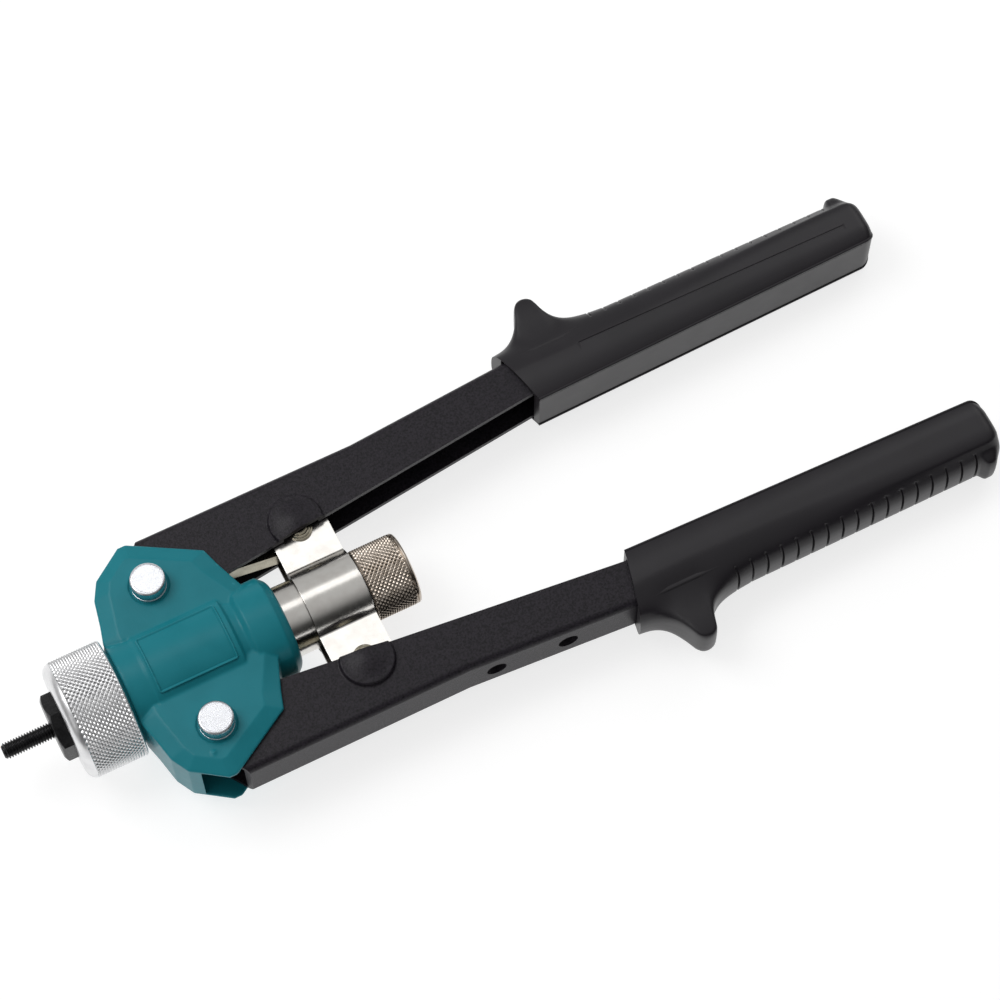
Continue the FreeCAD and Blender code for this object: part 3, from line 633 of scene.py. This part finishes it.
# The arms have a domed boss over each crosshead rivet.
armLook = {"edge": 0.3, "padTop": 11.6, "domeRise": 1.4, "domeRadius": 8.85, "shift": (-0.3, 2.4), "cuts": 4,
           "level": 0.99, "nearTop": 0.05, "onTop": 0.02}


def isPadTop(face):
    height = abs(face.calc_center_median().z)
    return abs(face.normal.z) > armLook["level"] and height > (armLook["padTop"] - armLook["nearTop"]) * mm


def buildArm(name, node, rivet, side):
    look = armLook
    mesh, solid = brokenSolid(name, node, look["edge"])
    low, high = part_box(rivet)
    centre = (low + high) / 2 / mm
    centreX = centre.x + look["shift"][0]
    centreY = centre.y + look["shift"][1] * side
    bmesh.ops.triangulate(solid, faces=[face for face in solid.faces if isPadTop(face)])
    for turn in range(look["cuts"]):
        edges = {edge for face in solid.faces if isPadTop(face) for edge in face.edges}
        bmesh.ops.subdivide_edges(solid, edges=list(edges), cuts=1, use_grid_fill=True)
    for vertex in solid.verts:
        height = abs(vertex.co.z) / mm
        reach = math.hypot(vertex.co.x / mm - centreX, vertex.co.y / mm - centreY) / look["domeRadius"]
        if height > look["padTop"] - look["onTop"] and reach < 1:
            rise = look["domeRise"] * (0.5 + 0.5 * math.cos(math.pi * reach)) * mm
            vertex.co.z += math.copysign(rise, vertex.co.z)
    splitLarge(solid)
    solid.to_mesh(mesh)
    solid.free()
    flatten(placePiece(name, mesh, node, meshing["crease"]))


buildArm("domedArmRight", "arm_right", "yoke_pin_right", 1)
buildArm("domedArmLeft", "arm_left", "yoke_pin_left", -1)
print("arms finished")


# The knurled collar sits in front of the head.
collarLow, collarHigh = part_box("nose_collar")
collarRadius = collarHigh.z / mm
collarFront = collarLow.x / mm
collarRear = collarHigh.x / mm
collarLook = {
    "radius": collarRadius, "teeth": 72, "pitch": 1.87, "depth": 0.62, "flat": 0.12, "perTooth": 8,
    "knurled": (collarFront + 3.1, collarRear - 0.5), "fade": 0.35, "crease": 50,
    "sharpness": 0.8, "relief": 0.1,
    "before": [(collarFront + 5.5, 17.04), (collarFront + 5.5, 9.02), (collarFront, 9.02),
               (collarFront, collarRadius - 3.9), (collarFront + 0.08, collarRadius - 3.2),
               (collarFront + 0.35, collarRadius - 2.4), (collarFront + 0.8, collarRadius - 1.65),
               (collarFront + 1.4, collarRadius - 1.0), (collarFront + 2.1, collarRadius - 0.5),
               (collarFront + 2.7, collarRadius - 0.22), (collarFront + 3.0, collarRadius - 0.14)],
    "after": [(collarRear - 0.4, collarRadius - 0.12), (collarRear - 0.15, collarRadius - 0.3),
              (collarRear, collarRadius - 0.6), (collarRear, 17.04)],
}
knurledTurning("knurledCollar", "nose_collar", collarLook)
print("collar knurled")


# The knurled knob is at the rear of the tube.
knobLow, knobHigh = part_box("rear_knob")
knobRadius = knobHigh.z / mm
knobFront = knobLow.x / mm
knobRear = knobHigh.x / mm
knobLook = {
    "radius": knobRadius, "teeth": 46, "pitch": 1.75, "depth": 0.56, "flat": 0.1, "perTooth": 8,
    "knurled": (knobFront - 0.7, knobRear - 1.9), "fade": 0.3, "crease": 50,
    "sharpness": 0.8, "relief": 0.1,
    "before": [(knobRear - 6.9, 2.7), (knobRear - 6.9, 4.52), (knobFront, 4.52), (knobFront, 12.5),
               (knobFront - 1.1, 12.5), (knobFront - 1.1, knobRadius - 0.5),
               (knobFront - 0.95, knobRadius - 0.25), (knobFront - 0.75, knobRadius - 0.15)],
    "after": [(knobRear - 1.85, knobRadius - 0.1), (knobRear - 1.75, knobRadius - 0.5),
              (knobRear - 1.5, knobRadius - 0.55), (knobRear - 1.35, knobRadius - 0.1),
              (knobRear - 0.9, knobRadius - 0.15), (knobRear - 0.4, knobRadius - 0.5),
              (knobRear - 0.1, knobRadius - 1.2), (knobRear, knobRadius - 2),
              (knobRear, 5.0), (knobRear - 0.3, 4.7), (knobRear - 4.5, 4.7), (knobRear - 4.5, 2.7)],
}
knurledTurning("knurledKnob", "rear_knob", knobLook)
print("knob knurled")


# The mandrel has a real M6 helix in front; the piece stops where the thread ends, and the mandrel's plain
# tail is not built.
mandrelLow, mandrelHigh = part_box("mandrel")
mandrelLook = {
    "radius": mandrelHigh.z / mm, "tip": mandrelLow.x / mm, "tail": mandrelHigh.x / mm,
    "pitch": 1.0, "depth": 0.6, "threadEnd": 2.5, "tipDepth": 0.95, "columns": 60,
    "levels": [(0.0, 0.94), (0.05, 1.0), (0.17, 1.0), (0.22, 0.94), (0.49, 0.04), (0.55, 0.0),
               (0.67, 0.0), (0.73, 0.04)],
}


def buildMandrel():
    look = mandrelLook
    pitch = look["pitch"]
    angles = numpy.arange(look["columns"]) * 2 * math.pi / look["columns"]
    rings = []
    firstTurn = math.floor(look["tip"] / pitch) - 1
    lastTurn = math.ceil(look["threadEnd"] / pitch) + 1
    for turn in range(firstTurn, lastTurn + 1):
        for share, height in look["levels"]:
            x = (turn + share + angles / (2 * math.pi)) * pitch
            x = numpy.clip(x, look["tip"], look["threadEnd"])
            crest = look["radius"] - look["depth"] * (1 - height)
            nose = look["radius"] - look["tipDepth"] + (x - look["tip"]) * look["tipDepth"]
            radius = numpy.minimum(crest, nose)
            rings.append(numpy.stack([x, -radius * numpy.sin(angles), radius * numpy.cos(angles)], 1))
    return rings, len(look["levels"])


mandrelRings, mandrelLap = buildMandrel()
mandrelMesh = meshFromRings("threadedMandrel", mandrelRings, lap=mandrelLap)
placePiece("threadedMandrel", mandrelMesh, "mandrel", 60)
print("mandrel threaded")

# Each grip is one section swept along the handle.
gripLow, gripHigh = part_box("grip_right")
gripLook = {
    "front": 202, "slant": 6.5, "slantReach": 20, "crease": 42,
    "rear": gripHigh.x / mm, "half": gripHigh.z / mm,
    "outer": 57.5, "inner": 32.3, "innerRise": 0.0268, "crest": 42.5, "crown": 1.3,
    "shoulder": (46.5, 52.3), "shoulderReach": (222, 330), "hornGrown": 8,
    "band": [(54.2, 9.4), (-0.8, 6.4), (-0.1, 3.4)], "hornBand": [(54.2, 8.6), (-1.3, 7.8), (-0.1, 6.3)],
    "innerEnd": (4.5, 4), "outerEnd": (6.5, 5), "topEnd": (4, 3.5),
    "lip": 2.4, "lipFrom": (330.0, 332.4), "lipTo": (334.4, 338.5), "lipHalf": (6.2, 8.8),
    "horn": [(195.9, 57.5), (200.5, 58.1), (204.5, 60.2), (207.7, 63.6), (209.7, 67.5), (210.9, 70.6),
             (212.7, 72.6), (215.5, 72.9), (218, 71.6), (218.9, 68.5), (219.9, 65), (222.3, 61.8),
             (226.5, 59.4), (233, 58.1), (240.5, 57.5)],
    "grooves": 17, "grooveFirst": 233.6, "groovePitch": 5.93, "grooveWide": (0.22, 0.5),
    "grooveDeep": 0.9, "grooveHalf": (8.3, 9.3), "outside": (45.5, 48.5),
    "seam": [(223.9, 45.5), (331, 44.7)], "seamWide": 0.28, "seamDeep": 0.2,
    "seamFloor": 0.4, "seamReach": 0.7, "topColumns": 13, "sideColumns": 46, "wallRows": (0, 0.3, 0.55),
    "pastSeam": 0.05, "rounds": 4, "hornRows": 242, "lipRows": (326, 336), "fineStep": 0.4,
    "between": (1.8, 3.0, 4.2), "endLength": 4.4, "endRows": 12, "rowGap": 0.02,
    "cavityOuter": [(182, 50.5), (196, 51.95), (322.3, 53.4)], "cavityHalf": 10.12,
    "cavityInner": [(182, 33.2), (200, 35.3), (322.3, 39.3)],
    "lining": [(202, 0.35), (202.6, 0), (222, 0), (260, 0), (322.3, 0)],
    "ridge": [(0, -2.3), (0, -1.75), (0.5, -1.6), (0.5, -1.2), (-0.12, -1.0), (-0.3, -0.75), (-0.3, -0.3),
              (-0.18, 0.0), (0.05, 0.14), (0.3, 0.14), (0.52, 0.02), (0.7, -0.08)],
}


def rounded(points, rounds=3):
    # cuts the corners of an open line, again and again, and keeps its two ends
    line = numpy.array(points, float)
    for turn in range(rounds):
        first = line[:-1] * 0.75 + line[1:] * 0.25
        second = line[:-1] * 0.25 + line[1:] * 0.75
        middle = numpy.stack([first, second], 1).reshape(-1, 2)
        line = numpy.vstack([line[:1], middle, line[-1:]])
    return line


def alongLine(points, x):
    line = numpy.asarray(points, float)
    return float(numpy.interp(x, line[:, 0], line[:, 1]))


def endInset(x, rear, reach):
    # how far a wall has come in, where it rounds towards the grip's end
    length, depth = reach
    share = min(1, max(0, (x - (rear - length)) / length))
    return depth * (1 - math.sqrt(max(0, 1 - share * share)))


def gripProfile(half, outer, reach, shoulder):
    # from the crest over the shoulder, down to the side band or out along the horn
    look = gripLook
    squash = half / look["half"]
    squeeze = (outer - look["crest"]) / (look["outer"] - look["crest"])
    grown = float(smoothStep(reach, look["outer"], look["outer"] + look["hornGrown"]))
    corners = [(look["crest"], look["half"]), (shoulder, look["half"])]
    for (plainY, plainZ), (hornY, hornZ) in zip(look["band"], look["hornBand"]):
        y = plainY + (hornY - plainY) * grown + (reach if plainY < 0 else 0)
        corners.append((y, plainZ + (hornZ - plainZ) * grown))
    corners.append((reach, 0))
    return rounded([(look["crest"] + (y - look["crest"]) * squeeze, z * squash) for y, z in corners],
                   look["rounds"])


def gripSection(x, hornLine, side):
    look = gripLook
    slide = look["slant"] * max(0, 1 - (x - look["front"]) / look["slantReach"])
    outerX = x - slide
    half = look["half"] - endInset(x, look["rear"], look["topEnd"])
    inner = look["inner"] + look["innerRise"] * (x - look["front"])
    inner += endInset(x, look["rear"], look["innerEnd"])
    outer = look["outer"] - endInset(x, look["rear"], look["outerEnd"])
    lip = look["lip"] * float(smoothStep(x, *look["lipFrom"]) * (1 - smoothStep(x, *look["lipTo"])))
    horn = alongLine(hornLine, outerX) if hornLine[0][0] < outerX < hornLine[-1][0] else 0
    low, high = look["shoulder"]
    shoulder = low + (high - low) * float(smoothStep(x, *look["shoulderReach"]))
    line = gripProfile(half, outer, max(look["outer"], horn), shoulder)
    seam = alongLine(look["seam"], x)
    wide = look["seamWide"]
    edge = inner + look["ridge"][-1][0]
    flat = numpy.linspace(edge, seam + wide, look["topColumns"])[1:]
    floor = look["seamFloor"] * wide
    if side > 0:
        flat[-4:] = (seam - wide, seam - floor, seam + floor, seam + wide)
    top = numpy.interp(flat, line[:, 0], line[:, 1])
    rise = numpy.clip((look["crest"] - flat) / (look["crest"] - edge), 0, 1)
    top = top - look["crown"] * rise ** 2
    shownFrom, shownTo = look["seam"][0][0], look["seam"][-1][0]
    if side > 0 and shownFrom < x < shownTo:
        top = top - look["seamDeep"] * (abs(flat - seam) < look["seamReach"] * wide)
    # the rest of the profile, at even steps along its length
    rest = numpy.vstack([[(flat[-1], top[-1])], line[line[:, 0] > flat[-1] + look["pastSeam"]]])
    steps = numpy.concatenate([[0], numpy.cumsum(numpy.hypot(*numpy.diff(rest, axis=0).T))])
    goal = numpy.linspace(0, steps[-1], look["sideColumns"])[1:]
    restY = numpy.interp(goal, steps, rest[:, 0])
    restZ = numpy.interp(goal, steps, rest[:, 1])
    # flat inner wall, then the bead along its top
    ridgeTop = half - look["crown"]
    wall = [(inner, share * half) for share in look["wallRows"]]
    wall += [(inner + into, ridgeTop + up) for into, up in look["ridge"]]
    y = numpy.concatenate([[point[0] for point in wall], flat, restY])
    z = numpy.concatenate([[point[1] for point in wall], top, restZ])
    outside = smoothStep(y, *look["outside"])
    deepest = 0
    for groove in range(look["grooves"]):
        distance = abs(x - look["grooveFirst"] - groove * look["groovePitch"])
        deepest = max(deepest, 1 - float(smoothStep(distance, *look["grooveWide"])))
    y = y - deepest * look["grooveDeep"] * outside * (1 - smoothStep(z, *look["grooveHalf"]))
    y = y + lip * outside * (1 - smoothStep(z, *look["lipHalf"]))
    share = numpy.clip((y - inner) / (outer - inner), 0, 1)
    return numpy.stack([x - slide * share, y, z], 1)


def wholeRing(half, side):
    below = half[-2:0:-1] * (1, 1, -1)
    return numpy.vstack([half, below]) * (1, side, 1)


def gripRows(look):
    rows = list(numpy.arange(look["front"], look["hornRows"], look["fineStep"]))
    narrow, wide = look["grooveWide"]
    for groove in range(look["grooves"]):
        centre = look["grooveFirst"] + groove * look["groovePitch"]
        rows += [centre + shift for shift in (-wide, -narrow, 0, narrow, wide, *look["between"])]
    rows += list(numpy.arange(*look["lipRows"], look["fineStep"]))
    for step in range(look["endRows"] + 1):
        left = 1 - math.sin(step / look["endRows"] * math.pi / 2)
        rows.append(look["rear"] - look["endLength"] * left)
    rows = sorted(row for row in rows if look["front"] <= row <= look["rear"])
    return [row for index, row in enumerate(rows) if index == 0 or row - rows[index - 1] > look["rowGap"]]


def buildGrip(name, node, side):
    look = gripLook
    hornLine = rounded(look["horn"])
    rings = [gripSection(x, hornLine, side) for x in gripRows(look)]
    mouth = rings[0]
    lining = []
    for x, shrink in look["lining"]:
        slide = look["slant"] * max(0, 1 - (x - look["front"]) / look["slantReach"])
        inner = alongLine(look["cavityInner"], x) - shrink
        outer = alongLine(look["cavityOuter"], x) + shrink
        y = numpy.clip(mouth[:, 1], inner, outer)
        z = numpy.clip(mouth[:, 2], 0, look["cavityHalf"] + shrink)
        share = numpy.clip((y - look["inner"]) / (look["outer"] - look["inner"]), 0, 1)
        lining.insert(0, numpy.stack([x - slide * share, y, z], 1))
    rings = [wholeRing(half, side) for half in lining + rings]
    mesh = meshFromRings(name, rings)
    return placePiece(name, mesh, node, look["crease"])


buildGrip("mouldedGripRight", "grip_right", 1)
buildGrip("mouldedGripLeft", "grip_left", -1)
print("grips moulded")
